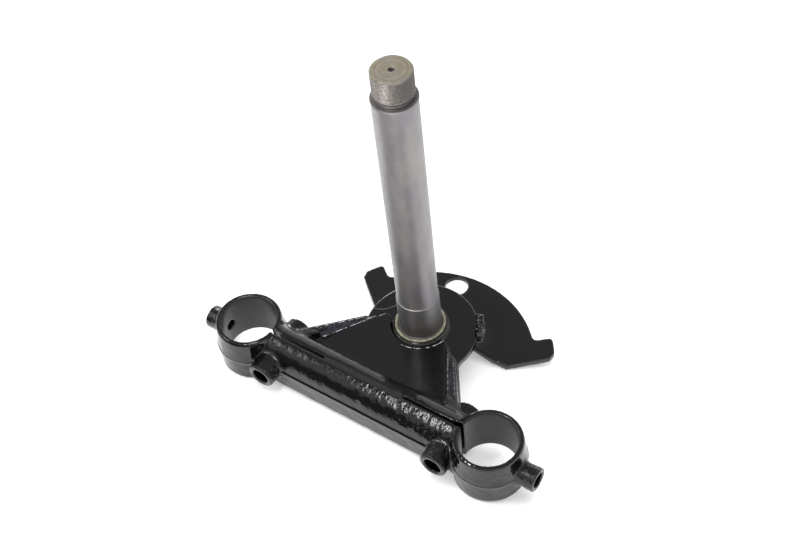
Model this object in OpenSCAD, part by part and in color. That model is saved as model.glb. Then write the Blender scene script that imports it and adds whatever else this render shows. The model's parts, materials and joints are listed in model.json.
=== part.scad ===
// Motorcycle triple clamp: a forged lower fork bracket with its steering stem.
// Millimetres. +Z runs up the steering axis, +X along the crossbar and +Y to the
// rear, where the stop plate is. The origin is on the steering axis, on top of the
// pale ring that the lower steering bearing sits on.

/* [Fork rings] */
// foot of the rings under the origin
foot_drop = 17.1; // [14:0.1:20]
// distance between the two fork tube centres
ring_spacing = 165.2; // [150:0.1:190]
// distance from the fork tube line back to the steering axis
fork_offset = 58.1; // [54:0.1:70]
// bore of each ring, for the fork tube
tube_bore_d = 33.6; // [30:0.1:36]
// height of the rings
ring_h = 32; // [28:0.5:36]
// wall of a ring at its top rim
ring_wall_top = 2.9; // [2.6:0.1:4]
// wall of a ring at the parting line, half way up
ring_wall_mid = 4.5; // [4.3:0.1:5.5]
// wall of a ring at its bottom rim
ring_wall_low = 4.2; // [3.6:0.1:5]
// how far the parting line of the forging stands out
flash_out = 0.7; // [0.2:0.1:1.2]
// height of the parting line
flash_h = 1.2; // [0.6:0.1:2]
// width of the saw cut that lets a ring close on its tube
slit_w = 1.8; // [1:0.1:3]
// length of the saw cut from the wall of the bore
slit_len = 39; // [30:0.5:44]
// depth of the chamfer at both ends of a bore
bore_chamfer = 0.6; // [0.2:0.1:1]
// height of the small slope round the rims of a ring
ring_rim = 1; // [0.4:0.1:1.4]

/* [Crossbar] */
// width of the bar above the parting line
bar_w_upper = 26; // [22:0.5:28]
// width of the bar below the parting line
bar_w_lower = 28.2; // [28.2:0.2:32]
// width of the flat under the bar
bar_w_foot = 24; // [20:0.5:26]
// height of the rounded corner under the bar
bar_foot_h = 2.2; // [1:0.1:4]
// how far the top of the bar lies under the top of the rings
bar_drop = 0.8; // [0.2:0.1:3]
// how far the front and rear of the bar lean in toward its foot
bar_lean = 0.6; // [0.2:0.1:1]

/* [Pinch bolt bosses] */
// outer diameter of a boss
boss_d = 17; // [16:0.1:19]
// distance of the bolt axis from the tube centre, toward the middle
bolt_inset = 23; // [22.5:0.1:26]
// distance of the front boss faces from the tube line
boss_reach = 23; // [20:0.1:28]
// distance of the rear boss faces from the tube line
boss_reach_rear = 18.6; // [17:0.1:22]
// how far the bolt axis lies over the parting line
boss_rise = 0.6; // [0.2:0.1:1.4]
// hole for the pinch bolt
bolt_hole_d = 10; // [8:0.1:11]
// chamfer on the rim of a boss and of its hole
boss_chamfer = 0.8; // [0.3:0.1:1.2]

/* [Outer stubs] */
// outer diameter of the stub on the outside of each ring
stub_d = 14.6; // [13:0.1:17]
// distance of the stub face from the tube centre
stub_reach = 31.1; // [28:0.1:36]
// how far the stub axis lies under the parting line
stub_drop = 1.3; // [0:0.1:2]
// threaded hole in the stub
stub_hole_d = 8.8; // [7:0.1:9.5]
// solid left between the threaded hole and the ring wall
stub_floor = 1; // [0.5:0.1:2]
// small hole from there into the fork tube bore
vent_d = 6.2; // [3:0.1:6.6]

/* [Web] */
// half width over the rims of the web, where the front half width is measured
web_half_front = 51.1; // [49:0.1:53]
// half width over the rims of the web where they meet the round head
web_half_rear = 31.7; // [30:0.1:33]
// distance from the tube line to where the front half width is measured
web_front_y = 18.5; // [17:0.1:20]
// distance from the steering axis to where the rear half width is measured
web_rear_y = 11.6; // [8:0.1:14]
// underside of the web above the foot of the rings at the front
web_rise_front = 1; // [0:0.5:4]
// how far the foot of the web stands out on each side beyond its rims
web_lip = 1.8; // [0.6:0.1:2]
// width of the pocket with the rim beside it, at the front of the raised panel
web_side = 7.7; // [6.6:0.1:9]
// the same at the rear
web_side_rear = 5.8; // [5:0.1:7]
// distance from the tube line to the front end of the pockets
pocket_y = 18.1; // [16:0.1:20]
// width of the rim along each side of the web
rim_w = 2.8; // [1.8:0.1:3.4]
// height of the rim over the web at the front
rim_h_front = 13.3; // [10:0.1:14]
// height of the rim over the web beside the round head
rim_h_rear = 5.4; // [4:0.1:7]
// height of the raised panel over the web
panel_h = 6.8; // [5:0.1:7.5]
// distance of the panel's rear edge in front of the steering axis
panel_rear_y = 5.2; // [3:0.1:8]
// width of the groove between the panel and the stem boss
panel_gap = 1.7; // [1:0.1:3]

/* [Round head] */
// diameter of the round head at the steering axis
head_d = 68.6; // [67:0.1:72]
// thickness of the flange of the head
head_h = 5.3; // [4:0.1:7]
// top of the head under the origin
head_drop = 6.6; // [6:0.1:8]
// small chamfer round the top of the head
head_chamfer = 0.5; // [0.2:0.1:1]
// small chamfer round the underside of the head, its neck and the outer stubs
edge_chamfer = 0.5; // [0.2:0.1:1]
// diameter of the neck under the head
neck_d = 44; // [40:0.5:50]
// how far the neck ends above the underside of the dished plate
neck_short = 0.6; // [0:0.1:1.5]
// width of the boss round the stem, outside the pale ring
stem_boss_w = 1.3; // [1:0.1:2.2]
// chamfer on the boss round the stem
stem_boss_chamfer = 0.5; // [0.2:0.1:0.6]

/* [Stop plate] */
// top of the plate under the origin
plate_drop = 35.3; // [32:0.1:38]
// thickness of the plate
plate_t = 4.8; // [4:0.1:6]
// radius of the round rear edge
plate_r = 67.6; // [64:0.1:72]
// how far the ends of the two horns stand out beyond that edge
horn_out = 12; // [8:0.1:16]
// angle from the middle of the plate to the step of a horn
horn_step_angle = 51.3; // [48:0.1:54]
// angle from the middle of the plate to the tip of a horn
horn_tip_angle = 59.6; // [58:0.1:61]
// angle from the middle of the plate to the front corner of a horn
horn_end_angle = 62.5; // [62:0.1:65]
// how much shorter than the tip the front corner of a horn is
horn_bevel = 3; // [1:0.1:5]
// radius of the round corner in the step of a horn
step_fillet = 3; // [1:0.1:4]
// how much the outer corner of that step is rounded off
step_round_r = 1.2; // [0.4:0.1:2]
// distance inside the rear edge's radius of the inner corner of each horn's front edge
shoulder_in = 17.2; // [14:0.1:18.8]
// angle from the middle of the plate to that corner
shoulder_angle = 69.9; // [68:0.1:72]
// distance of the inner front edge behind the steering axis
plate_front_y = 17; // [15:0.1:19]
// width of the flat rim left behind the dish
flat_w = 21.6; // [19:0.1:24]
// height of the dish at the neck
dish_h = 9; // [5:0.1:11]
// how far the plate is turned about the steering axis
plate_turn = 1.4; // [-3:0.1:3]
// diameter of the hole for the fork lock
lock_hole_d = 14.7; // [10:0.1:16]
// distance of the middle of that hole from the round rear edge
lock_hole_in = 9; // [8.4:0.1:13]
// angle of that hole from the middle of the plate
lock_hole_angle = 10.8; // [0:0.1:30]

/* [Welds] */
// height of the fillet weld on the neck
weld_up = 3.5; // [2:0.1:5]
// width of the fillet weld on the dish
weld_out = 2; // [1.4:0.1:3.5]
// half of the angle that the fillet weld covers
weld_half_angle = 35; // [20:1:36]
// length of the run of weld on the edge of the head
run_len = 15; // [8:0.5:18]
// how far that run stands out from the edge
run_out = 2.6; // [1:0.1:4]
// height of the run
run_h = 6.6; // [4:0.1:8]
// angle of the middle of the run about the steering axis, from +X
run_angle = 33; // [28:1:50]

/* [Steering stem] */
// diameter of the lower bearing seat
seat_d = 25.4; // [25:0.1:26]
// how much thicker the stem's root, pressed into the head, is than the seat
root_more = 0.6; // [0.4:0.1:0.8]
// diameter of the stem between the seats
shaft_d = 24.4; // [22:0.1:24.4]
// length of the lower bearing seat above the origin
seat_len = 25.9; // [18:0.1:34]
// height of the shoulder under the thread
shoulder_z = 182.8; // [150:0.1:240]
// diameter of the collar under that shoulder
collar_d = 25; // [24.6:0.1:25]
// height of the collar
collar_h = 1.5; // [1.1:0.1:20]
// outside diameter of the threaded end
thread_d = 22.1; // [20:0.1:22.2]
// length of the threaded end
thread_len = 17.3; // [14:0.1:26]
// length of the plain neck at the root of the thread
relief_len = 3.4; // [2:0.1:4]
// depth of that neck under the crest of the thread
relief_deep = 1; // [0.6:0.1:1.4]
// chamfers on the stem
stem_chamfer = 0.5; // [0.2:0.1:0.6]
// chamfer on the end of the thread
end_chamfer = 0.6; // [0.3:0.1:1.6]
// centre drilling in the upper end
centre_d = 3.2; // [2:0.1:5]
// depth of the centre drilling
centre_deep = 6; // [3:0.5:12]

/* [Pale ring] */
// clearance between the ring and the stem
ring_clear = 0.3; // [0.1:0.1:0.6]
// width of the ring
pale_ring_w = 1.9; // [1.4:0.1:2.4]
// thickness of the ring
pale_ring_h = 1; // [0.8:0.1:2]

/* [Hidden] */
$fn = 96;
ring_x = ring_spacing / 2;
bore_r = tube_bore_d / 2;
foot_z = -foot_drop;
mid_z = foot_z + ring_h / 2;
head_z = -head_drop;
plate_z = -plate_drop - plate_t;
neck_r = neck_d / 2;
neck_z = plate_z + dish_h + neck_short;
boss_x = ring_x - bolt_inset;
slit_x = ring_x - bore_r - slit_len;
web_len = fork_offset - web_front_y - web_rear_y;
web_slope = (web_half_front - web_half_rear) / web_len;
web_low = head_z - head_h;
dish_r = plate_r - flat_w;
horn_r = plate_r + horn_out;
shoulder_r = plate_r - shoulder_in;
root_r = (seat_d + root_more) / 2;
pale_ring_r = root_r + ring_clear + pale_ring_w;
stem_boss_r = pale_ring_r + stem_boss_w;
spotface_r = stem_boss_r + panel_gap;
end_z = shoulder_z + thread_len;
tuck_y = 2 - fork_offset; // front of the web, hidden in the bar behind the saw cuts
dish_steps = 6;
seam_turn = 35; // keeps the seam of a boss inside the bar
eps = 0.01;

// piece to draw, or "all"

black = [0.10, 0.10, 0.11];
steel = [0.56, 0.55, 0.57];
cream = [0.70, 0.69, 0.60];

// Copies its children to the right and, mirrored, to the left.
module both_sides() {
    for (side = [0, 1]) mirror([side, 0, 0]) children();
}

// A round bar along Y with chamfered ends, from the front to the rear boss face.
module boss_bar(r, front, rear, chamfer) {
    rotate([90, 0, 0]) rotate([0, 0, seam_turn]) rotate_extrude()
        polygon([[0, -rear], [r - chamfer, -rear], [r, chamfer - rear],
                 [r, front - chamfer], [r - chamfer, front], [0, front]]);
}

// Outside of one ring, tapered both ways from the parting line.
module ring_body() {
    r_mid = bore_r + ring_wall_mid;
    r_top = bore_r + ring_wall_top;
    r_low = bore_r + ring_wall_low;
    translate([ring_x, -fork_offset, foot_z]) rotate_extrude()
        polygon([[0, 0], [r_low - ring_rim, 0], [r_low, ring_rim],
                 [r_mid, (ring_h - flash_h) / 2], [r_mid + flash_out, ring_h / 2],
                 [r_mid, (ring_h + flash_h) / 2], [r_top, ring_h - ring_rim],
                 [r_top - 0.6 * ring_rim, ring_h], [0, ring_h]]);
}

// Crossbar between the rings: round above the parting line, upright below it.
module crossbar() {
    up = (ring_h - bar_drop) - ring_h / 2;
    low = bar_w_lower / 2;
    translate([0, -fork_offset, foot_z]) rotate([90, 0, 90])
        linear_extrude(height = 2 * ring_x, center = true)
        polygon(concat(
            [[-bar_w_foot / 2, 0], [bar_w_foot / 2, 0], [low - bar_lean, bar_foot_h],
             [low, (ring_h - flash_h) / 2], [low + flash_out / 2, ring_h / 2]],
            [for (a = [6:6:174]) [bar_w_upper / 2 * cos(a), ring_h / 2 + up * sin(a)]],
            [[-low - flash_out / 2, ring_h / 2], [-low, (ring_h - flash_h) / 2],
             [bar_lean - low, bar_foot_h]]));
}

// Plan of the web between the crossbar and the head, drawn in by inset on each side.
module web_plan(inset) {
    x0 = web_half_front + web_slope * (web_front_y - fork_offset - tuck_y) - inset;
    x1 = web_half_rear - inset;
    x2 = head_d / 2 - web_lip;
    polygon([[-x0, tuck_y], [x0, tuck_y], [x1, -web_rear_y], [x2, 0], [-x2, 0],
             [-x1, -web_rear_y]]);
}

// Plan of the raised panel.
module panel_plan() {
    half_front = web_half_front - web_side;
    half_rear = web_half_rear - web_side_rear;
    slope = (half_front - half_rear) / web_len;
    x0 = half_front + slope * (web_front_y - fork_offset - tuck_y);
    x1 = half_rear - slope * (web_rear_y - panel_rear_y);
    polygon([[-x0, tuck_y], [x0, tuck_y], [x1, -panel_rear_y], [-x1, -panel_rear_y]]);
}

// Web with its underside rising to the head, side rims, pockets and raised panel.
module web() {
    y_front = web_front_y - fork_offset;
    rim_slope = (rim_h_front - rim_h_rear) / web_len;
    rim_top = head_z + rim_h_front + rim_slope * (y_front - tuck_y);
    intersection() {
        translate([0, 0, foot_z]) linear_extrude(height = head_z - foot_z)
            web_plan(-web_lip);
        rotate([90, 0, 90]) linear_extrude(height = 2 * ring_x, center = true)
            polygon([[tuck_y, foot_z + web_rise_front],
                     [y_front, foot_z + web_rise_front], [-web_rear_y, web_low],
                     [0, web_low], [0, head_z], [tuck_y, head_z]]);
    }
    intersection() {
        translate([0, 0, head_z - eps]) linear_extrude(height = rim_top - head_z + 1)
            difference() {
                web_plan(0);
                panel_plan();
                intersection() {
                    web_plan(rim_w);
                    translate([-ring_x, pocket_y - fork_offset])
                        square([2 * ring_x, fork_offset]);
                }
            }
        rotate([90, 0, 90]) linear_extrude(height = 2 * ring_x, center = true)
            polygon([[tuck_y, head_z - 1], [-web_rear_y, head_z - 1],
                     [-web_rear_y, head_z + rim_h_rear], [tuck_y, rim_top]]);
    }
    difference() {
        translate([0, 0, head_z - eps]) linear_extrude(height = panel_h + eps)
            panel_plan();
        translate([0, 0, head_z]) cylinder(h = panel_h + 1, r = spotface_r);
    }
}

// Round head with its neck and the boss round the stem.
module head() {
    r = head_d / 2;
    rb = stem_boss_r;
    rotate_extrude()
        polygon([[0, neck_z], [neck_r - edge_chamfer, neck_z],
                 [neck_r, neck_z + edge_chamfer], [neck_r, web_low],
                 [r - edge_chamfer, web_low], [r, web_low + edge_chamfer],
                 [r, head_z - head_chamfer],
                 [r - head_chamfer, head_z], [rb, head_z],
                 [rb, -pale_ring_h - stem_boss_chamfer],
                 [rb - stem_boss_chamfer, -pale_ring_h], [0, -pale_ring_h]]);
}

// Bores, saw cuts and drillings of the bracket.
module bracket_holes() {
    both_sides() {
        translate([ring_x, -fork_offset, foot_z]) {
            translate([0, 0, -1]) cylinder(h = ring_h + 2, r = bore_r);
            rotate_extrude() polygon([[0, -eps], [bore_r + bore_chamfer, -eps],
                                      [bore_r - eps, bore_chamfer], [0, bore_chamfer]]);
            translate([0, 0, ring_h]) rotate_extrude()
                polygon([[0, eps], [bore_r + bore_chamfer, eps],
                         [bore_r - eps, -bore_chamfer], [0, -bore_chamfer]]);
        }
        translate([slit_x, -fork_offset - slit_w / 2, foot_z - 1])
            cube([ring_x - slit_x, slit_w, ring_h + 2]);
        translate([boss_x, -fork_offset, mid_z + boss_rise]) {
            rotate([90, 0, 0])
                cylinder(h = 2 * boss_reach + 2, r = bolt_hole_d / 2, center = true);
            for (end = [[90, boss_reach], [-90, boss_reach_rear]])
                rotate([end[0], 0, 0]) translate([0, 0, end[1]]) rotate_extrude()
                    polygon([[0, eps], [bolt_hole_d / 2 + edge_chamfer, eps],
                             [bolt_hole_d / 2 - eps, -edge_chamfer],
                             [0, -edge_chamfer]]);
        }
        translate([ring_x, -fork_offset, mid_z - stub_drop]) rotate([0, 90, 0]) {
            translate([0, 0, bore_r / 2])
                cylinder(h = stub_reach, r = vent_d / 2);
            translate([0, 0, bore_r + ring_wall_mid + stub_floor])
                cylinder(h = stub_reach, r = stub_hole_d / 2);
        }
    }
    translate([0, 0, neck_z - 1]) cylinder(h = 1 - neck_z, r = root_r);
}

module fork_bracket() {
    color(black) difference() {
        union() {
            both_sides() {
                ring_body();
                translate([boss_x, -fork_offset, mid_z + boss_rise])
                    boss_bar(boss_d / 2, boss_reach, boss_reach_rear, boss_chamfer);
                translate([ring_x, -fork_offset, mid_z - stub_drop]) rotate([0, 90, 0])
                    rotate_extrude() polygon([[0, 0], [stub_d / 2, 0],
                        [stub_d / 2, stub_reach - edge_chamfer],
                        [stub_d / 2 - edge_chamfer, stub_reach], [0, stub_reach]]);
            }
            crossbar();
            web();
            head();
        }
        bracket_holes();
    }
}

// Turned stem pressed into the head: seats, shaft, thread relief and end.
module steering_stem() {
    rs = seat_d / 2;
    rc = collar_d / 2;
    rm = shaft_d / 2;
    rt = thread_d / 2;
    rr = rt - relief_deep;
    color(steel) difference() {
        rotate_extrude()
            polygon([[0, neck_z], [root_r - stem_chamfer, neck_z],
                     [root_r, neck_z + stem_chamfer], [root_r, 0], [rs, 0],
                     [rs, seat_len - stem_chamfer],
                     [rm, seat_len], [rm, shoulder_z - collar_h - stem_chamfer],
                     [rc, shoulder_z - collar_h], [rc, shoulder_z - stem_chamfer],
                     [rc - stem_chamfer, shoulder_z], [rr, shoulder_z],
                     [rr, shoulder_z + relief_len - relief_deep],
                     [rt, shoulder_z + relief_len], [rt, end_z - end_chamfer],
                     [rt - end_chamfer, end_z], [0, end_z]]);
        translate([0, 0, end_z - centre_deep])
            cylinder(h = centre_deep + 1, r = centre_d / 2);
    }
}

// Point of the stop plate at a radius and an angle from its middle line.
function plate_point(r, angle) = [r * sin(angle), r * cos(angle)];

// Rise of the dish at a share of the way from its rim to the neck.
function dish_z(share) = dish_h * (0.35 * share + 0.65 * share * share);

// Outline of the plate on one side of its middle line, to the step of the horn.
module plate_half() {
    step = horn_step_angle;
    round_angle = 1.6 * step_round_r / horn_r * 180 / PI;
    polygon(concat(
        [[0, plate_front_y], plate_point(shoulder_r, shoulder_angle),
         plate_point(horn_r - horn_bevel, horn_end_angle)],
        [for (t = [0:0.2:1])
            plate_point(horn_r, horn_tip_angle + t * (step + round_angle - horn_tip_angle))],
        [plate_point(horn_r - step_round_r, step)],
        [for (t = [0:15:90]) plate_point(plate_r + step_fillet * (1 - sin(t)),
            step - (1 - cos(t)) * step_fillet / plate_r * 180 / PI)],
        [[0, plate_r / 2]]));
}

// Dished middle of the plate, cut off along the front edge.
module plate_dish() {
    n = dish_steps;
    span = dish_r - neck_r;
    lap = 0.5;
    intersection() {
        rotate_extrude() polygon(concat([[dish_r + lap, 0], [dish_r + lap, plate_t]],
            [for (i = [0:n]) [dish_r - span * i / n, plate_t + dish_z(i / n)]],
            [for (i = [n:-1:0]) [dish_r - span * i / n, dish_z(i / n)]]));
        translate([0, 0, -1]) linear_extrude(height = plate_t + dish_h + 2)
            polygon([[0, plate_front_y], plate_point(shoulder_r, shoulder_angle),
                     plate_point(2 * plate_r, shoulder_angle), plate_point(2 * plate_r, 0),
                     plate_point(2 * plate_r, -shoulder_angle),
                     plate_point(shoulder_r, -shoulder_angle)]);
    }
}

// Crescent under the head, with two horns that meet the frame at full lock.
module stop_plate() {
    step = horn_step_angle;
    sector = [[0, 0], plate_point(2 * plate_r, step), plate_point(2 * plate_r, 0),
              plate_point(2 * plate_r, -step)];
    color(black) translate([0, 0, plate_z]) rotate([0, 0, plate_turn]) {
        difference() {
            union() {
                both_sides() linear_extrude(height = plate_t) plate_half();
                intersection() {
                    cylinder(h = plate_t, r = plate_r);
                    linear_extrude(height = plate_t) polygon(sector);
                }
            }
            translate([0, 0, -1]) cylinder(h = plate_t + 2, r = dish_r);
            rotate([0, 0, lock_hole_angle]) translate([0, plate_r - lock_hole_in, -1])
                cylinder(h = plate_t + 2, r = lock_hole_d / 2);
        }
        plate_dish();
    }
}

// Fillet weld between the neck and the top of the dished plate.
module stop_plate_weld() {
    foot = dish_z(1) + plate_t;
    last = dish_z(1) - dish_z(1 - 1 / dish_steps);
    slope = dish_steps * last / (dish_r - neck_r);
    hollow = 0.35;
    color(black) translate([0, 0, plate_z]) rotate([0, 0, plate_turn + 90 - weld_half_angle])
        rotate_extrude(angle = 2 * weld_half_angle)
        polygon([[neck_r, foot], [neck_r + weld_out, foot - slope * weld_out],
                 [neck_r + hollow * weld_out, foot + hollow * weld_up],
                 [neck_r, foot + weld_up]]);
}

// Short run of weld on the edge of the head.
module head_edge_weld() {
    r = head_d / 2;
    turn = run_len / r * 180 / PI;
    color(black) translate([0, 0, head_z - head_h / 2]) rotate([0, 0, run_angle - turn / 2])
        rotate_extrude(angle = turn)
        polygon([for (t = [0:20:180]) [r + run_out * sin(t), -run_h / 2 * cos(t)]]);
}

module pale_ring() {
    color(cream) translate([0, 0, -pale_ring_h]) difference() {
        cylinder(h = pale_ring_h, r = pale_ring_r);
        translate([0, 0, -1]) cylinder(h = pale_ring_h + 2, r = root_r + ring_clear);
    }
}

fork_bracket();
steering_stem();
stop_plate();
stop_plate_weld();
head_edge_weld();
pale_ring();
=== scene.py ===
import json
import math
import bmesh
import bpy
import numpy
from mathutils import Matrix, Vector, noise


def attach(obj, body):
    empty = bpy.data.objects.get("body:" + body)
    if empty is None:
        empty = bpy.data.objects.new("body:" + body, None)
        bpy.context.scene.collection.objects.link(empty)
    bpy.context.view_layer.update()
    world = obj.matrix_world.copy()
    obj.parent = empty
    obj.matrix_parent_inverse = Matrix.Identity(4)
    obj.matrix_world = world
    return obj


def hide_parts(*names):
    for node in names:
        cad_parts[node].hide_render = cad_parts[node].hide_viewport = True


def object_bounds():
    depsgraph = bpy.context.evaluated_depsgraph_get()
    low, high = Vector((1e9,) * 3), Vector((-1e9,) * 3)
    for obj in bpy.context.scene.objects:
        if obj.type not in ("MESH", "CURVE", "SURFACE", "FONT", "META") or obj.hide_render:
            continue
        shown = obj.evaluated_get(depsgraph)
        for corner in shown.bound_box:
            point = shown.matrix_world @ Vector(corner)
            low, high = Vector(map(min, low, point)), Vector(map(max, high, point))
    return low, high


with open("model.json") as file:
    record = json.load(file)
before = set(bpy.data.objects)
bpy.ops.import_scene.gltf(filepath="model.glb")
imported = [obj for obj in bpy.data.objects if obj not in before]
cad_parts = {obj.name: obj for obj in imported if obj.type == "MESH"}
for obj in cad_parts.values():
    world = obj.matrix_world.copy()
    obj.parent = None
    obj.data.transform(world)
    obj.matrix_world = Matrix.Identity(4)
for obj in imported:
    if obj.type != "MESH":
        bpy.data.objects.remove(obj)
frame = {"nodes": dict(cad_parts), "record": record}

cad_box = [list(corner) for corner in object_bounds()]
MM = 0.001

# Camera and studio
# The bracket lies on white paper, on the feet of its fork rings and the front edge of its
# stop plate. Two small boxes near it draw the glints on the crossbar, one lights it from
# the rear left, and a wide one overhead fills the shadows.

CAMERA_PLACE = (0.304242, -0.386962, 0.638218)
CAMERA_RIGHT = (0.831683, 0.549062, -0.082671)
CAMERA_UP = (-0.379085, 0.670273, 0.637988)
CAMERA_BACK = (0.405707, -0.499265, 0.765596)
CAMERA_LENS = 60.82
SENSOR_WIDTH = 36.0

camera = bpy.data.objects.new("camera", bpy.data.cameras.new("camera"))
bpy.context.scene.collection.objects.link(camera)
camera.data.lens = CAMERA_LENS
camera.data.sensor_width = SENSOR_WIDTH
camera.data.clip_start = 0.01
camera.matrix_world = Matrix((
    (CAMERA_RIGHT[0], CAMERA_UP[0], CAMERA_BACK[0], CAMERA_PLACE[0]),
    (CAMERA_RIGHT[1], CAMERA_UP[1], CAMERA_BACK[1], CAMERA_PLACE[1]),
    (CAMERA_RIGHT[2], CAMERA_UP[2], CAMERA_BACK[2], CAMERA_PLACE[2]),
    (0.0, 0.0, 0.0, 1.0)))
bpy.context.scene.camera = camera
bpy.context.scene.view_settings.view_transform = "Standard"


def linear(hex_colour):
    """sRGB hex to the linear colour that a socket takes."""
    parts = [int(hex_colour[i:i + 2], 16) / 255 for i in (1, 3, 5)]
    return tuple(c / 12.92 if c <= 0.04045 else ((c + 0.055) / 1.055) ** 2.4
                 for c in parts) + (1.0,)


WHITE = linear("#ffffff")


def add(tree, kind, inputs=None, **settings):
    """Adds a node. Each input takes a value, or the node or socket it is linked from."""
    made = tree.nodes.new(kind)
    for key, value in settings.items():
        setattr(made, key, value)
    for key, value in (inputs or {}).items():
        if isinstance(value, bpy.types.Node):
            value = next(socket for socket in value.outputs if socket.enabled)
        if isinstance(value, bpy.types.NodeSocket):
            tree.links.new(value, made.inputs[key])
        else:
            made.inputs[key].default_value = value
    return made


def new_material(name):
    """An empty material and its node tree."""
    material = bpy.data.materials.new(name)
    material.use_nodes = True
    material.node_tree.nodes.clear()
    return material, material.node_tree


def seen(tree):
    """1 for the rays that see the background: camera, glossy and transmission rays."""
    path = add(tree, "ShaderNodeLightPath")
    first = add(tree, "ShaderNodeMath", {0: path.outputs["Is Camera Ray"],
                1: path.outputs["Is Glossy Ray"]}, operation="MAXIMUM")
    return add(tree, "ShaderNodeMath", {0: first, 1: path.outputs["Is Transmission Ray"]},
               operation="MAXIMUM")


WORLD_FILL = 0.56

world = bpy.data.worlds.new("studio")
bpy.context.scene.world = world
world.use_nodes = True
tree = world.node_tree
tree.nodes.clear()
soft = add(tree, "ShaderNodeBackground", {"Color": WHITE, "Strength": WORLD_FILL})
white = add(tree, "ShaderNodeBackground", {"Color": WHITE, "Strength": 1.0})
mixed = add(tree, "ShaderNodeMixShader", {0: seen(tree), 1: soft, 2: white})
add(tree, "ShaderNodeOutputWorld", {"Surface": mixed})

# The floor touches the rings at RING_FOOT and the stop plate at PLATE_FOOT (y, z in mm).
RING_FOOT = (-78.1, -17.1)
PLATE_FOOT = (17.3, -40.1)
FLOOR_HALF, FLOOR_GAP = 4.0, 0.0001     # metres
FLOOR_GLOW = 0.37
FLOOR_GLOSS = 0.05

slope = math.atan2(PLATE_FOOT[1] - RING_FOOT[1], PLATE_FOOT[0] - RING_FOOT[0])
floor_turn = Matrix.Translation((0, RING_FOOT[0] * MM, RING_FOOT[1] * MM - FLOOR_GAP)) \
    @ Matrix.Rotation(slope, 4, "X")

shape = bmesh.new()
bmesh.ops.create_grid(shape, x_segments=1, y_segments=1, size=FLOOR_HALF)
shape.transform(floor_turn)
floor = bpy.data.objects.new("floor", bpy.data.meshes.new("floor"))
shape.to_mesh(floor.data)
shape.free()
bpy.context.scene.collection.objects.link(floor)

# White paper: matt, over-lit so that only the contact shadows stay grey, and a little
# brighter in a mirror. It is clear from below, so that a low view isn't shut off.
paper, tree = new_material("white paper sweep")
matt = add(tree, "ShaderNodeBsdfDiffuse", {"Color": linear("#f4f4f6")})
for rays, strength in ((seen(tree), FLOOR_GLOW),
                       (add(tree, "ShaderNodeLightPath").outputs["Is Glossy Ray"],
                        FLOOR_GLOSS)):
    only = add(tree, "ShaderNodeMath", {0: rays, 1: strength}, operation="MULTIPLY")
    glow = add(tree, "ShaderNodeEmission", {"Color": WHITE, "Strength": only})
    matt = add(tree, "ShaderNodeAddShader", {0: matt, 1: glow})
clear = add(tree, "ShaderNodeBsdfTransparent")
below = add(tree, "ShaderNodeNewGeometry").outputs["Backfacing"]
both = add(tree, "ShaderNodeMixShader", {0: below, 1: matt, 2: clear})
add(tree, "ShaderNodeOutputMaterial", {"Surface": both})
floor.data.materials.append(paper)


def lamp(name, place, aim, size, watts):
    """A white rectangular lamp that the camera doesn't see; place, aim, size in metres."""
    data = bpy.data.lights.new(name, "AREA")
    data.shape = "RECTANGLE"
    data.size, data.size_y = size
    data.energy = watts
    made = bpy.data.objects.new(name, data)
    bpy.context.scene.collection.objects.link(made)
    back = (Vector(place) - Vector(aim)).to_track_quat("Z", "Y")
    made.matrix_world = Matrix.Translation(place) @ back.to_matrix().to_4x4()
    made.visible_camera = False
    return made


lamp("strip_box_front", (-0.022, -0.17, 0.26), (-0.022, -0.07, 0.01), (0.022, 0.17), 0.44)
lamp("strip_box_left", (-0.28, -0.17, 0.26), (-0.03, -0.07, 0.01), (0.07, 0.07), 0.24)
lamp("soft_box_rear_left", (-1.00, 0.92, 0.34), (0.0, 0.0, 0.0), (0.35, 0.35), 5.0)
fill = lamp("soft_box_top", (0.15, 0.30, 1.35), (0.0, 0.0, 0.0), (1.1, 1.1), 10.0)
fill.visible_glossy = False


def card(name, outline, strength):
    """A plain card that only shows in the gloss, as the studio's own walls do."""
    shape = bmesh.new()
    shape.faces.new([shape.verts.new(point) for point in outline])
    made = bpy.data.objects.new(name, bpy.data.meshes.new(name))
    shape.to_mesh(made.data)
    shape.free()
    bpy.context.scene.collection.objects.link(made)
    made.visible_camera = False
    made.visible_diffuse = False
    made.visible_transmission = False
    made.visible_shadow = False
    board, tree = new_material(name)
    light = add(tree, "ShaderNodeEmission", {"Color": WHITE, "Strength": strength})
    add(tree, "ShaderNodeOutputMaterial", {"Surface": light})
    made.data.materials.append(board)


def on_floor(x, y, lift):
    """A point over the sloping floor; all in metres."""
    return (x, y, (RING_FOOT[1] + (y / MM - RING_FOOT[0]) * math.tan(slope)) * MM + lift)


# The ceiling over the set is grey, and what stands in front of the paper is dark. Metres.
CEILING_Z, CEILING_GREY = 1.6, 0.46
DARK = 0.15
TABLE_LIFT = 0.002
PAPER_EDGE_Y = -0.108
ROOM_Y, ROOM_LEFT, ROOM_RIGHT, ROOM_HIGH = -2.2, -2.6, 1.6, 0.55

card("grey ceiling", [(-2.2, -0.9, CEILING_Z), (2.2, -0.9, CEILING_Z),
                      (2.2, 2.6, CEILING_Z), (-2.2, 2.6, CEILING_Z)], CEILING_GREY)
card("dark table", [on_floor(-1.6, PAPER_EDGE_Y, TABLE_LIFT),
                    on_floor(0.05, PAPER_EDGE_Y, TABLE_LIFT),
                    on_floor(-0.5, ROOM_Y, TABLE_LIFT),
                    on_floor(ROOM_LEFT, ROOM_Y, TABLE_LIFT)], DARK)
card("dark room", [on_floor(ROOM_LEFT, ROOM_Y, 0.0), on_floor(ROOM_RIGHT, ROOM_Y, 0.0),
                   on_floor(ROOM_RIGHT, ROOM_Y, ROOM_HIGH),
                   on_floor(ROOM_LEFT, ROOM_Y, ROOM_HIGH)], DARK)

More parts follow.
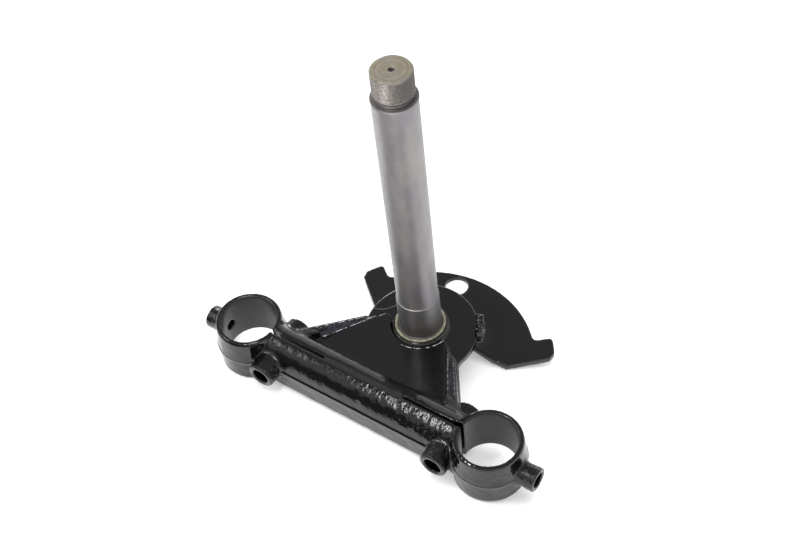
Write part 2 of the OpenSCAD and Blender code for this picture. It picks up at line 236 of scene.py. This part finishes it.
# Fork bracket
# One steel forging: two split rings, a crossbar and a web that ends in a round head.
# Its outside is as forged, its bores and faces are machined, and it is enamelled black.


def mount(name):
    """A mount of the record: its place in mm, and its sizes."""
    row = next(row for row in frame["record"]["mounts"] if row["name"] == name)
    return [round(part / MM, 3) for part in row["pos_m"]], row["dims"]


# All in millimetres but the passes and shares. The middle of the right ring is a mount of
# the record, the left ring mirrors it, and the parting line runs through the middle.
(RING_X, RING_Y, PARTING_Z), bore = mount("tube_clamp_right")
BORE_R = bore["r_mm"]
BOSS_X = mount("pinch_bolt_right")[0][0]
HEAD_R = 36.0
WEB_FROM_Y, WEB_TOP_Z = -50.0, -3.5
BAR_TO_RING = 19.5                  # the bar ends this far from a ring's centre
SKIN_VOXEL = 0.65
FILLET_PASSES, EDGE_PASSES = 20, 2
SKIN_SHARE = 0.6                    # share of the skin's faces that thinning keeps
# Lumps of the forged skin, and the coarse grain of the bar, bosses, stubs and pockets. A
# bias pulls both in, so that they add little to the CAD's outline.
LUMP_SIZE, LUMP_DEEP, LUMP_BIAS = 5.0, 0.16, 0.35
GRAIN_SIZE, GRAIN_DEEP, GRAIN_BIAS = (1.5, 2.8, 2.8), 0.15, 0.5
BOSS_HALF, BOSS_Y = 10.0, (-80.0, -72.0)
STUB_X = (104.5, 112.5)
TOP_RIM_R, TOP_RIM_Z = 20.6, 13.6
BOSS_GRAIN, STUB_GRAIN, RIM_GRAIN, POCKET_GRAIN = 2.2, 2.0, 0.8, 2.0
MACHINED_RIM, CUT_EDGE = 3.5, 1.6   # smooth strips round a bore and beside a saw cut
# The saw cuts and other edges that stay sharp.
CUT_HALF, CUT_X = 2.3, (25.5, 67.0)
GROOVE_R, GROOVE_Z, GROOVE_SHARP = (15.4, 18.9), -8.0, 0.6
LEDGE_X, LEDGE_Y, LEDGE_Z = 56.0, -69.5, (-3.4, 0.9)
PARTING_R, PARTING_HALF = (19.5, 23.0), 1.7
# Where a cut opens into a bore, its walls stand this much further apart on each side.
MOUTH_X, MOUTH_HALF, MOUTH_OPEN = 63.4, 3.2, 0.6
# Half width over the raised panel and over the rims of the web, measured at POCKET_Y, and
# how much of it is lost for each mm to the rear. The pockets lie between the two.
POCKET_Y = -39.6
PANEL_X, PANEL_TAPER = 43.4, 0.625
RIM_X, RIM_TAPER = 48.3, 0.693
# The panel's top, how far the rims stand over it at POCKET_Y, and how much of that is lost
# for each mm to the rear. A valley between them is up to POCKET_DEEP lower.
PANEL_Z = 0.2
RIM_RISE, RIM_FALL = 6.5, 0.282
POCKET_DEEP, POCKET_FLOOR_Z = 1.1, -7.5
POCKET_ENDS = (-41.6, -9.0)
# It deepens over FRONT_SLOPE from its front, and over REAR_SLOPE from the stem's axis.
VALLEY_FRONT, FRONT_SLOPE, REAR_SLOPE = -41.0, 5.0, 20.0


def merged_copy(node, name):
    """A copy of a CAD node's mesh with its doubled corners merged, as a new object."""
    mesh = frame["nodes"][node].data.copy()
    mesh.name = name
    mesh.materials.clear()
    shape = bmesh.new()
    shape.from_mesh(mesh)
    bmesh.ops.remove_doubles(shape, verts=shape.verts, dist=1e-6)
    shape.to_mesh(mesh)
    shape.free()
    made = bpy.data.objects.new(name, mesh)
    bpy.context.scene.collection.objects.link(made)
    return made


def apply_modifiers(piece):
    """Makes the shape that a piece's modifiers give its own mesh."""
    graph = bpy.context.evaluated_depsgraph_get()
    mesh = bpy.data.meshes.new_from_object(piece.evaluated_get(graph))
    piece.modifiers.clear()
    old = piece.data
    piece.data = mesh
    mesh.name = old.name
    bpy.data.meshes.remove(old)


def corners(mesh):
    """The places of a mesh's corners, in metres, one row each."""
    flat = numpy.empty(len(mesh.vertices) * 3)
    mesh.vertices.foreach_get("co", flat)
    return flat.reshape(-1, 3)


def normals(mesh):
    """The way out of the surface at each corner of a mesh."""
    flat = numpy.empty(len(mesh.vertices) * 3)
    mesh.vertex_normals.foreach_get("vector", flat)
    return flat.reshape(-1, 3)


def melt(mesh, fillet, edge, free=1.0):
    """Fills the hollow corners as a forging's fillets do, and rounds the edges a little.

    free is 1 where the skin may move and 0 where it is kept as machined.
    """
    ends = numpy.empty(len(mesh.edges) * 2, dtype=numpy.int32)
    mesh.edges.foreach_get("vertices", ends)
    a, b = ends[0::2], ends[1::2]
    count = numpy.bincount(ends, minlength=len(mesh.vertices))[:, None]
    for turn in range(fillet):
        place = corners(mesh)
        near = numpy.zeros_like(place)
        for i in range(3):
            near[:, i] = (numpy.bincount(a, place[b, i], len(place))
                          + numpy.bincount(b, place[a, i], len(place)))
        pull = near / count - place
        out = (pull * normals(mesh)).sum(axis=1)[:, None]
        keep = numpy.where(out > 0, free, free if turn < edge else 0.0)
        place += pull * keep * 0.5
        mesh.vertices.foreach_set("co", place.ravel())
        mesh.update()


def skin(piece, voxel, fillet, edge, sharp=None):
    """Remeshes a merged copy to an even skin and gives it the fillets of a forging."""
    remesh = piece.modifiers.new("skin", "REMESH")
    remesh.mode = "VOXEL"
    remesh.voxel_size = voxel * MM
    apply_modifiers(piece)
    free = 1.0 if sharp is None else 1.0 - sharp(corners(piece.data) / MM)[:, None]
    melt(piece.data, fillet, edge, free)


def thin_out(piece, share):
    """Keeps a share of a piece's faces, most of them where it is curved."""
    fewer = piece.modifiers.new("fewer faces", "DECIMATE")
    fewer.ratio = share
    apply_modifiers(piece)
    piece.data.shade_smooth()


def between(value, limits):
    """True where value lies between two limits."""
    return (value > limits[0]) & (value < limits[1])


def fade(value, start, width):
    """0 up to start, and then up to 1 over width."""
    return numpy.clip((value - start) / width, 0, 1)


def ring_distance(place):
    """How far each point lies from the axis of the nearer ring, in mm."""
    return numpy.hypot(numpy.abs(place[:, 0]) - RING_X, place[:, 1] - RING_Y)


def forged_share(place):
    """1 where the forging is rough, 0 on its machined faces; place in mm."""
    x, y, z = place[:, 0], place[:, 1], place[:, 2]
    machined = ((ring_distance(place) < BORE_R + MACHINED_RIM)
                | (numpy.hypot(x, y) < HEAD_R) | ((y > WEB_FROM_Y) & (z > WEB_TOP_Z))
                | (numpy.abs(y - RING_Y) < CUT_EDGE))
    return numpy.where(machined, 0.0, 1.0)


def pocket(place):
    """Where a point lies across a pocket of the web, and how high its valley is there.

    The share runs from 0 at the raised panel to 1 at the rim; place in mm.
    """
    x, y = numpy.abs(place[:, 0]), place[:, 1]
    back = y - POCKET_Y
    panel, rim = PANEL_X - PANEL_TAPER * back, RIM_X - RIM_TAPER * back
    share = (x - panel) / (rim - panel)
    depth = POCKET_DEEP * fade(y, VALLEY_FRONT, FRONT_SLOPE) * fade(-y, 0.0, REAR_SLOPE)
    top = PANEL_Z + share * (RIM_RISE - RIM_FALL * back)
    inside = between(share, (-0.1, 1.1)) & between(y, POCKET_ENDS)
    return inside, top - depth * 4 * share * (1 - share)


def grain_share(place):
    """How coarse the skin is: most on the bosses, growing to the right along the bar."""
    x, y, z = place[:, 0], place[:, 1], place[:, 2]
    from_ring = ring_distance(place)
    bar = (fade(RING_Y - 1.8 - y, 0.0, 1.5) * fade(z, 3.0, 4.0)
           * fade(from_ring, BAR_TO_RING, 2.0))
    boss = between(y, BOSS_Y) & (numpy.abs(numpy.abs(x) - BOSS_X) < BOSS_HALF)
    stub = between(numpy.abs(x), STUB_X)
    top_rim = (from_ring < TOP_RIM_R) & (z > TOP_RIM_Z)
    inside = pocket(place)[0] & (z > POCKET_FLOOR_Z)
    return numpy.maximum.reduce([bar * (1.2 + x / 80), BOSS_GRAIN * boss, STUB_GRAIN * stub,
                                 RIM_GRAIN * top_rim, POCKET_GRAIN * inside])


def sharp_share(place):
    """1 in the saw cuts and on the parting ledge and line, less in the boss's groove."""
    x, y, z = numpy.abs(place[:, 0]), place[:, 1], place[:, 2]
    cut = (numpy.abs(y - RING_Y) < CUT_HALF) & between(x, CUT_X)
    groove = between(numpy.hypot(x, y), GROOVE_R) & (z > GROOVE_Z)
    ledge = (x < LEDGE_X) & (y < LEDGE_Y) & between(z, LEDGE_Z)
    line = between(ring_distance(place), PARTING_R) & (numpy.abs(z - PARTING_Z) < PARTING_HALF)
    return numpy.maximum((cut | ledge | line).astype(float), GROOVE_SHARP * groove)


bracket = merged_copy("fork_bracket", "bracket_forging")
skin(bracket, SKIN_VOXEL, FILLET_PASSES, EDGE_PASSES, sharp_share)
place = corners(bracket.data)
inside, valley = pocket(place / MM)
place[:, 2] = numpy.where(inside, numpy.maximum(place[:, 2], valley * MM), place[:, 2])
bracket.data.vertices.foreach_set("co", place.ravel())
bracket.data.update()
out = normals(bracket.data)
mouth = ((numpy.abs(place[:, 1] / MM - RING_Y) < CUT_HALF) & (numpy.abs(out[:, 1]) > 0.5)
         & (numpy.abs(numpy.abs(place[:, 0]) / MM - MOUTH_X) < MOUTH_HALF))
place[:, 1] -= mouth * out[:, 1] * MOUTH_OPEN * MM
rough = forged_share(place / MM)
lump = numpy.array([noise.noise(Vector(p) / (LUMP_SIZE * MM)) for p in place])
pits = numpy.array([noise.noise(Vector(p)) for p in
                    place / (numpy.array(GRAIN_SIZE) * MM)])
place += out * (rough * (lump - LUMP_BIAS) * LUMP_DEEP * MM
                + grain_share(place / MM) * (pits - GRAIN_BIAS) * GRAIN_DEEP * MM)[:, None]
place = numpy.clip(place, cad_box[0], cad_box[1])
bracket.data.vertices.foreach_set("co", place.ravel())
thin_out(bracket, SKIN_SHARE)


def coordinates(tree):
    """The Object coordinates as they are, and their x, y and z in mm."""
    where = add(tree, "ShaderNodeTexCoord").outputs["Object"]
    scaled = add(tree, "ShaderNodeVectorMath", {0: where, "Scale": 1 / MM},
                 operation="SCALE")
    axes = add(tree, "ShaderNodeSeparateXYZ", {0: scaled}).outputs
    return where, axes["X"], axes["Y"], axes["Z"]


def from_axis(tree, x, y):
    """How far a point lies from an upright axis, from its places x and y to that axis."""
    flat = add(tree, "ShaderNodeCombineXYZ", {"X": x, "Y": y})
    return add(tree, "ShaderNodeVectorMath", {0: flat}, operation="LENGTH")


def zone(tree, *limits):
    """1 inside a zone and 0 outside it, with soft limits.

    A limit is a value, where that value is still outside, and where it is well inside.
    """
    steps = [add(tree, "ShaderNodeMapRange", {"Value": value, "From Min": outer,
                 "From Max": inner}, interpolation_type="SMOOTHSTEP")
             for value, outer, inner in limits]
    inside = steps[0]
    for step in steps[1:]:
        inside = add(tree, "ShaderNodeMath", {0: inside, 1: step}, operation="MULTIPLY")
    return inside


def off(tree, value, centre):
    """How far value is from centre, on either side of it."""
    apart = add(tree, "ShaderNodeMath", {0: value, 1: centre}, operation="SUBTRACT")
    return add(tree, "ShaderNodeMath", {0: apart}, operation="ABSOLUTE")


def total(tree, start, *parts):
    """start and the parts added up, where each part is a share times its weight."""
    for share, weight in parts:
        start = add(tree, "ShaderNodeMath", {0: share, 1: weight, 2: start},
                    operation="MULTIPLY_ADD")
    return start


def coats(tree, ground, *layers):
    """A ground colour with layers over it, where each layer is its share and colour."""
    under = linear(ground)
    for share, colour in layers:
        over = linear(colour) if isinstance(colour, str) else colour
        under = add(tree, "ShaderNodeMix", {"Factor": share, 6: under, 7: over},
                    data_type="RGBA")
    return under


# Black stoving enamel over the forged skin: deep gloss that runs over the grain of the
# forging, so that it sparkles on the crossbar and lies smooth on the web and rings. Its
# grain and specks are drawn a little coarser than real ones, so that they show.
enamel, tree = new_material("black stoving enamel")
where, x, y, z = coordinates(tree)
side = add(tree, "ShaderNodeMath", {0: x}, operation="ABSOLUTE")
across = add(tree, "ShaderNodeMath", {0: side, 1: RING_X}, operation="SUBTRACT")
along = add(tree, "ShaderNodeMath", {0: y, 1: RING_Y}, operation="SUBTRACT")
from_ring = from_axis(tree, across, along)
streak_at = add(tree, "ShaderNodeMapping", {"Vector": where, "Scale": (1.0, 0.5, 0.5)})
grain = add(tree, "ShaderNodeTexNoise", {"Vector": streak_at, "Scale": 1 / (1.5 * MM),
            "Detail": 4.0, "Roughness": 0.6})
speck = add(tree, "ShaderNodeTexNoise", {"Vector": where, "Scale": 1 / (0.8 * MM),
            "Detail": 2.0, "Roughness": 0.5})
orange_peel = add(tree, "ShaderNodeTexNoise", {"Vector": where, "Scale": 1 / (6.0 * MM),
                  "Detail": 2.0, "Roughness": 0.5})

# Where the enamel differs: thin in the bores, coarse on the bar's upper front, dull and
# painted near black as shade in the saw cuts, speckled with a painted blue-grey sheen in the
# pockets, and lumpy on the bosses and stubs.
in_bore = zone(tree, (from_ring, BORE_R + 0.7, BORE_R + 0.1))
bar_upper = zone(tree, (along, -1.2, -2.2), (from_ring, BAR_TO_RING, BAR_TO_RING + 3.0),
                 (z, PARTING_Z + 0.6, PARTING_Z + 2.0))
# The saw cuts and a strip beside them are painted near black, as painted shade, and made dull.
cut_shade = zone(tree, (off(tree, along, -0.5), 1.7, 1.3), (across, -12.0, -13.0))
back = add(tree, "ShaderNodeMath", {0: y, 1: POCKET_Y}, operation="SUBTRACT")
past_panel = total(tree, side, (back, PANEL_TAPER), (1.0, -PANEL_X))
past_rim = total(tree, side, (back, RIM_TAPER), (1.0, -RIM_X))
in_pocket = zone(tree, (past_panel, -0.3, 0.5), (past_rim, 0.3, -0.5), (back, -1.0, 1.0),
                 (back, 32.0, 28.0))
boss = zone(tree, (off(tree, across, BOSS_X - RING_X), BOSS_HALF + 2.0, BOSS_HALF),
            (along, -14.0, -16.0))
lumpy = add(tree, "ShaderNodeMath", {0: boss, 1: zone(tree, (across, 20.5, 22.0))},
            operation="MAXIMUM")

# Two pale hair lines on the head: a painted highlight on the lit edge round the groove, and a
# scratch to its left.
HAIR = (0.35, 0.1)
SCRATCH_X, SCRATCH_Y, SCRATCH_R = -36.2, 12.3, 14.5
GROOVE_HIGHLIGHT_R = 16.5
on_top = (z, -8.0, -7.0)
from_stem = from_axis(tree, x, y)
side_x = add(tree, "ShaderNodeMath", {0: x, 1: SCRATCH_X}, operation="SUBTRACT")
side_y = add(tree, "ShaderNodeMath", {0: y, 1: SCRATCH_Y}, operation="SUBTRACT")
groove_highlight = zone(tree, (off(tree, from_stem, GROOVE_HIGHLIGHT_R), *HAIR), on_top)
scratch = zone(tree, (off(tree, from_axis(tree, side_x, side_y), SCRATCH_R), *HAIR),
               (side_x, 0.0, 2.0), (side_y, -2.0, -4.0), on_top)
scratch_and_highlight = total(tree, 0.0, (groove_highlight, 0.75), (scratch, 0.7))

# Painted highlights: pale dashes painted on the pockets' edges and on the spot face's arc, as
# the glints of their rounded enamel, more on the left than on the right.
SPOT_R = 20.4
left = total(tree, 1.0, (zone(tree, (x, -1.0, 1.0)), -0.65))
panel_edge = zone(tree, (off(tree, past_panel, 0.6), *HAIR), (back, 38.0, 36.0),
                  (back, 0.0, 1.0))
rim_edge = zone(tree, (off(tree, past_rim, 0.9), *HAIR), (back, 26.0, 24.0),
                (back, 0.0, 1.0))
spot_arc = zone(tree, (off(tree, from_stem, SPOT_R), *HAIR), (x, -1.0, 1.0),
                (y, -4.0, -6.0))
edges = total(tree, spot_arc, (panel_edge, left), (rim_edge, left))
# Pale colour painted in dashes along these edges: painted highlights, not a colour of the
# enamel.
painted_glints = add(tree, "ShaderNodeMath", {0: edges, 1: zone(tree, (grain, 0.46, 0.54),
            (z, -3.0, -2.4))}, operation="MULTIPLY")

# Speckles of blue-grey painted in the pockets, as the painted sheen their glossy floors catch.
pocket_sheen = add(tree, "ShaderNodeMath", {0: in_pocket, 1: zone(tree, (grain, 0.42, 0.60))},
           operation="MULTIPLY")
# Over the black: thinner enamel in the bores, painted blue-grey sheen in the pockets, a
# scratch and a painted highlight on the head, painted glints on the edges, and painted shade
# in the saw cuts.
colour = coats(tree, "#070708", (in_bore, "#312e2d"), (pocket_sheen, "#2c2c38"),
               (scratch_and_highlight, "#6b6a62"), (painted_glints, "#c4c4cc"), (cut_shade, "#030303"))
sheen = total(tree, 0.04, (zone(tree, (orange_peel, 0.3, 0.7)), 0.05),
              (zone(tree, (along, 3.0, 12.0)), 0.12), (in_bore, 0.22), (cut_shade, 0.6),
              (in_pocket, 0.12))
coarse = total(tree, 0.05, (bar_upper, 0.30), (in_pocket, 0.8), (lumpy, 0.7))
speckled = total(tree, 0.18, (zone(tree, (x, -20.0, 30.0)), -0.08))
fine = add(tree, "ShaderNodeMath", {0: bar_upper, 1: speckled}, operation="MULTIPLY")
height = total(tree, 0.0, (grain, coarse), (speck, fine), (orange_peel, 0.25))
bump = add(tree, "ShaderNodeBump", {"Height": height, "Strength": 1.0,
           "Distance": 0.5 * MM})
shader = add(tree, "ShaderNodeBsdfPrincipled", {"Base Color": colour, "Roughness": sheen,
             "Normal": bump})
add(tree, "ShaderNodeOutputMaterial", {"Surface": shader})
bracket.data.materials.append(enamel)
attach(bracket, "root")
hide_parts("fork_bracket")

# Stop plate
# A crescent of thick sheet steel, blanked, dished up to the neck of the bracket and
# welded to it. Its two horns meet the frame at full lock. It is painted satin black.

PLATE_VOXEL = 0.7
PLATE_FILLETS, PLATE_EDGES = 10, 2
PLATE_SHARE = 0.6

plate = merged_copy("stop_plate", "stop_plate_blank")
skin(plate, PLATE_VOXEL, PLATE_FILLETS, PLATE_EDGES)
thin_out(plate, PLATE_SHARE)

# Satin black paint: a softer shine than the enamel's, that wavers over slow dents.
satin, tree = new_material("satin black paint")
where = add(tree, "ShaderNodeTexCoord").outputs["Object"]
fine = add(tree, "ShaderNodeTexNoise", {"Vector": where, "Scale": 1 / (1.2 * MM),
           "Detail": 3.0, "Roughness": 0.6})
broad = add(tree, "ShaderNodeTexNoise", {"Vector": where, "Scale": 1 / (22 * MM),
            "Detail": 2.0, "Roughness": 0.5})
bump = add(tree, "ShaderNodeBump", {"Height": total(tree, fine, (broad, 4.0)),
           "Strength": 1.0, "Distance": 0.04 * MM})
sheen = total(tree, 0.17, (zone(tree, (broad, 0.3, 0.7)), 0.07))
shader = add(tree, "ShaderNodeBsdfPrincipled",
             {"Base Color": coats(tree, "#09090a", (broad, "#0d0d0e")),
              "Roughness": sheen, "Normal": bump})
add(tree, "ShaderNodeOutputMaterial", {"Surface": shader})
plate.data.materials.append(satin)
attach(plate, "root")
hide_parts("stop_plate")

# Welds
# Hand-laid beads of weld under the same black enamel: a fillet round the neck that holds
# the stop plate, and a short lumpy run on the edge of the head.

WELD_VOXEL = 0.4
WELD_FILLETS, WELD_EDGES = 4, 3
WELD_LUMP = 2.2
# How high the lumps of each bead stand in mm, and how far the bead swells, in lumps.
WELD_GROWTH = {"stop_plate_weld": (0.5, -0.2), "head_edge_weld": (1.9, 0.55)}

for node, (high, swell) in WELD_GROWTH.items():
    bead = merged_copy(node, node + "_bead")
    skin(bead, WELD_VOXEL, WELD_FILLETS, WELD_EDGES)
    place = corners(bead.data)
    out = normals(bead.data)
    lump = numpy.array([noise.noise(Vector(p) / (WELD_LUMP * MM)) for p in place])
    place += out * ((lump + swell) * high * MM)[:, None]
    bead.data.vertices.foreach_set("co", place.ravel())
    bead.data.shade_smooth()
    bead.data.materials.append(enamel)
    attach(bead, "root")
    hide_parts(node)

# Steering stem
# Steel bar turned and ground between the bearing seats, with a fine thread at the top,
# pressed into the head. It is bare, stained and a little marked from use.

# All in mm, from the pressed-in root up. The seat and the thread are mounts of the record.
ROOT_R, ROOT_Z = 13.0, -30.5
SEAT_R, SEAT_TOP = mount("stem_seat")[1]["r_mm"], mount("stem_seat")[1]["length_mm"]
SHANK_R, SHANK_TOP = 12.2, 180.8
COLLAR_R, COLLAR_TOP = 12.5, 182.8
NECK_R, NECK_TOP = 10.05, 185.0
CORE_R, STEM_TOP = 10.4, 200.1
DRILL_R, DRILL_FOOT = 1.5, 195.0
STEM_POINTS = [
    (0.0, ROOT_Z), (ROOT_R - 0.5, ROOT_Z), (ROOT_R, ROOT_Z + 0.5), (ROOT_R, -0.15),
    (SEAT_R, 0.0), (SEAT_R, SEAT_TOP), (SEAT_R - 0.1, SEAT_TOP + 0.2),
    (SHANK_R, SEAT_TOP + 0.4), (SHANK_R, SHANK_TOP), (COLLAR_R - 0.15, SHANK_TOP + 0.4),
    (COLLAR_R, SHANK_TOP + 0.55), (COLLAR_R, COLLAR_TOP - 0.5),
    (COLLAR_R - 0.15, COLLAR_TOP - 0.15), (COLLAR_R - 0.5, COLLAR_TOP),
    (NECK_R + 0.05, COLLAR_TOP), (NECK_R, COLLAR_TOP + 0.2), (NECK_R, NECK_TOP),
    (CORE_R, NECK_TOP + 1.0), (CORE_R + 0.05, STEM_TOP - 0.5), (CORE_R, STEM_TOP - 0.1),
    (CORE_R - 0.1, STEM_TOP), (DRILL_R + 0.25, STEM_TOP), (DRILL_R + 0.1, STEM_TOP - 0.2),
    (DRILL_R, STEM_TOP - 2.1), (0.0, DRILL_FOOT)]
STEM_STEPS = 128
SHARP_ANGLE = math.radians(24)
THREAD_PITCH = 1.0
THREAD_FROM, THREAD_TO = 185.9, 199.5
THREAD_ROOT, THREAD_CREST = 10.35, mount("stem_thread")[1]["r_mm"]
THREAD_SUNK = 0.3                   # how far the thread's foot lies in the stem
CREST_FLAT, CREST_DROP = 0.1, 0.06
THREAD_STEPS = 72                   # for each turn


def turned(name, shape):
    """A new object from the spun faces in shape, with the edges of the turning sharp."""
    bmesh.ops.recalc_face_normals(shape, faces=shape.faces)
    made = bpy.data.objects.new(name, bpy.data.meshes.new(name))
    shape.to_mesh(made.data)
    shape.free()
    bpy.context.scene.collection.objects.link(made)
    made.data.set_sharp_from_angle(angle=SHARP_ANGLE)
    return made


def lathe(name, points, steps):
    """Spins a profile of (radius, height) points round the steering axis."""
    shape = bmesh.new()
    ring = [shape.verts.new((r * MM, 0, z * MM)) for r, z in points]
    wire = [shape.edges.new(pair) for pair in zip(ring, ring[1:])]
    bmesh.ops.spin(shape, geom=ring + wire, cent=(0, 0, 0), axis=(0, 0, 1),
                   angle=2 * math.pi, steps=steps, use_merge=True)
    bmesh.ops.remove_doubles(shape, verts=shape.verts, dist=1e-7)
    return turned(name, shape)


stem = lathe("stem_turning", STEM_POINTS, STEM_STEPS)

shape = bmesh.new()
half = THREAD_PITCH / 2
tooth = [shape.verts.new((r * MM, 0, (THREAD_FROM + z) * MM)) for r, z in
         ((THREAD_ROOT - THREAD_SUNK, -half), (THREAD_ROOT, -half),
          (THREAD_CREST - CREST_DROP, -CREST_FLAT), (THREAD_CREST, 0.0),
          (THREAD_CREST - CREST_DROP, CREST_FLAT), (THREAD_ROOT, half),
          (THREAD_ROOT - THREAD_SUNK, half))]
face = shape.faces.new(tooth)
turns = (THREAD_TO - THREAD_FROM) / THREAD_PITCH
bmesh.ops.spin(shape, geom=[face], cent=(0, 0, 0), axis=(0, 0, 1),
               dvec=(0, 0, THREAD_PITCH * MM / THREAD_STEPS), angle=2 * math.pi * turns,
               steps=int(THREAD_STEPS * turns), use_merge=False)
thread = turned("stem_thread", shape)

# Turned and ground steel: long soft highlights across fine rings, which are drawn 0.9 mm
# apart because real ones are too fine to show. Its upper end is stained brown.
steel, tree = new_material("turned and ground steel")
where, x, y, z = coordinates(tree)
lines_at = add(tree, "ShaderNodeMapping", {"Vector": where, "Scale": (0.06, 0.06, 1.0)})
lines = add(tree, "ShaderNodeTexNoise", {"Vector": lines_at, "Scale": 1 / (0.9 * MM),
            "Detail": 3.0, "Roughness": 0.7})
stain_at = add(tree, "ShaderNodeMapping", {"Vector": where, "Scale": (1.0, 1.0, 0.35)})
stain = add(tree, "ShaderNodeTexNoise", {"Vector": stain_at, "Scale": 1 / (9 * MM),
            "Detail": 4.0, "Roughness": 0.6})
grime = add(tree, "ShaderNodeTexNoise", {"Vector": where, "Scale": 1 / (2.4 * MM),
            "Detail": 4.0, "Roughness": 0.7})
specks_at = add(tree, "ShaderNodeMapping", {"Vector": where, "Scale": (1.0, 1.0, 2.4)})
specks = add(tree, "ShaderNodeTexNoise", {"Vector": specks_at, "Scale": 1 / (1.0 * MM),
             "Detail": 4.0, "Roughness": 0.7})

# Brown stain over the thread, darker at the end face.
upper = total(tree, 0.0, (zone(tree, (z, SHANK_TOP + 0.2, NECK_TOP + 2.0)), 0.3),
              (zone(tree, (z, STEM_TOP - 0.4, STEM_TOP - 0.05)), 0.5))
patchy = total(tree, 0.3, (zone(tree, (stain, 0.3, 0.6)), 0.55))
stained = add(tree, "ShaderNodeMath", {0: upper, 1: patchy}, operation="MULTIPLY")
brown = coats(tree, "#a29a87", (zone(tree, (grime, 0.42, 0.6)), "#907d59"))

# Dark specks over the thread, and dark bands in the recessed neck under it.
speckled = total(tree, 0.06, (zone(tree, (specks, 0.49, 0.60)), 0.69))
clotted = total(tree, 0.35, (zone(tree, (stain, 0.40, 0.60)), 0.65))
thread_specks = add(tree, "ShaderNodeMath", {0: speckled, 1: clotted}, operation="MULTIPLY")
on_thread = zone(tree, (z, THREAD_FROM - 0.3, THREAD_FROM + 0.3),
                 (z, THREAD_TO + 0.4, THREAD_TO - 0.1))
neck_bands = add(tree, "ShaderNodeMath", {0: z, 1: 1.0}, operation="PINGPONG")
in_neck = zone(tree, (z, COLLAR_TOP - 0.3, COLLAR_TOP + 0.1),
               (z, NECK_TOP + 1.0, NECK_TOP + 0.6), (neck_bands, 0.2, 0.8))
darkened = total(tree, 0.0, (on_thread, thread_specks), (in_neck, 0.65))

# The end was faced on the lathe, which left fine rings round the centre drilling. They are
# painted paler, partly as the bright faced metal and partly as painted sheen.
rings_at = add(tree, "ShaderNodeCombineXYZ", {"X": from_axis(tree, x, y)})
faced = add(tree, "ShaderNodeTexNoise", {"Vector": rings_at, "Scale": 1 / 0.8,
            "Detail": 2.0, "Roughness": 0.6})
end_face = (z, STEM_TOP - 0.15, STEM_TOP - 0.05)
on_face = zone(tree, end_face)
ring_marks_and_sheen = total(tree, 0.0, (zone(tree, end_face, (faced, 0.40, 0.60)), 0.45))

# The bearing seat is darker in a thin band at its top and towards its foot by the head.
seat_darker = total(tree, 0.0, (zone(tree, (z, SEAT_TOP + 0.1, SEAT_TOP - 0.2)), 0.25),
              (zone(tree, (z, 12.0, 0.0)), 0.35))

colour = coats(tree, "#8b888c", (zone(tree, (stain, 0.35, 0.65)), "#989592"),
               (stained, brown), (darkened, "#3a3735"), (ring_marks_and_sheen, "#c9c2aa"),
               (seat_darker, "#39383c"))
sheen = total(tree, 0.40, (zone(tree, (lines, 0.3, 0.7)), 0.08), (on_face, -0.12))
face_marks = add(tree, "ShaderNodeMath", {0: on_face, 1: faced}, operation="MULTIPLY")
bump = add(tree, "ShaderNodeBump", {"Height": total(tree, lines, (grime, 0.3),
           (face_marks, 6.0)), "Strength": 1.0, "Distance": 0.02 * MM})
shader = add(tree, "ShaderNodeBsdfPrincipled", {"Base Color": colour, "Roughness": sheen,
             "Normal": bump, "Metallic": 0.75})
add(tree, "ShaderNodeOutputMaterial", {"Surface": shader})
for piece in (stem, thread):
    piece.data.materials.append(steel)
    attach(piece, "root")
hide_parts("steering_stem")

# Pale ring
# A thin washer-like ring round the foot of the stem, under the lower bearing. It is
# dull cream against the black head, and most likely the plated seat of a dust seal.

RING_POINTS = [(13.3, -0.15), (13.45, 0.0), (14.9, 0.0), (15.2, -0.25), (15.2, -1.0),
               (13.3, -1.0), (13.3, -0.15)]
RING_STEPS = 96
pale = lathe("pale_ring_turned", RING_POINTS, RING_STEPS)

# Dull cream plating: little gloss, patches of dirt, and darker on its inner part by the stem.
cream, tree = new_material("dull cream plating")
where, x, y, z = coordinates(tree)
dirt = add(tree, "ShaderNodeTexNoise", {"Vector": where, "Scale": 1 / (3.5 * MM),
           "Detail": 4.0, "Roughness": 0.65})
inner_darker = total(tree, 0.6, (zone(tree, (from_axis(tree, x, y), 13.9, 14.5)), -0.6))
colour = coats(tree, "#a8a690", (zone(tree, (dirt, 0.4, 0.62)), "#7d7a66"),
               (inner_darker, "#3d3a30"))
sheen = total(tree, 0.38, (zone(tree, (dirt, 0.3, 0.7)), 0.17))
bump = add(tree, "ShaderNodeBump", {"Height": dirt, "Strength": 1.0,
           "Distance": 0.05 * MM})
shader = add(tree, "ShaderNodeBsdfPrincipled", {"Base Color": colour, "Roughness": sheen,
             "Normal": bump, "Metallic": 0.3})
add(tree, "ShaderNodeOutputMaterial", {"Surface": shader})
pale.data.materials.append(cream)
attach(pale, "root")
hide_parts("pale_ring")
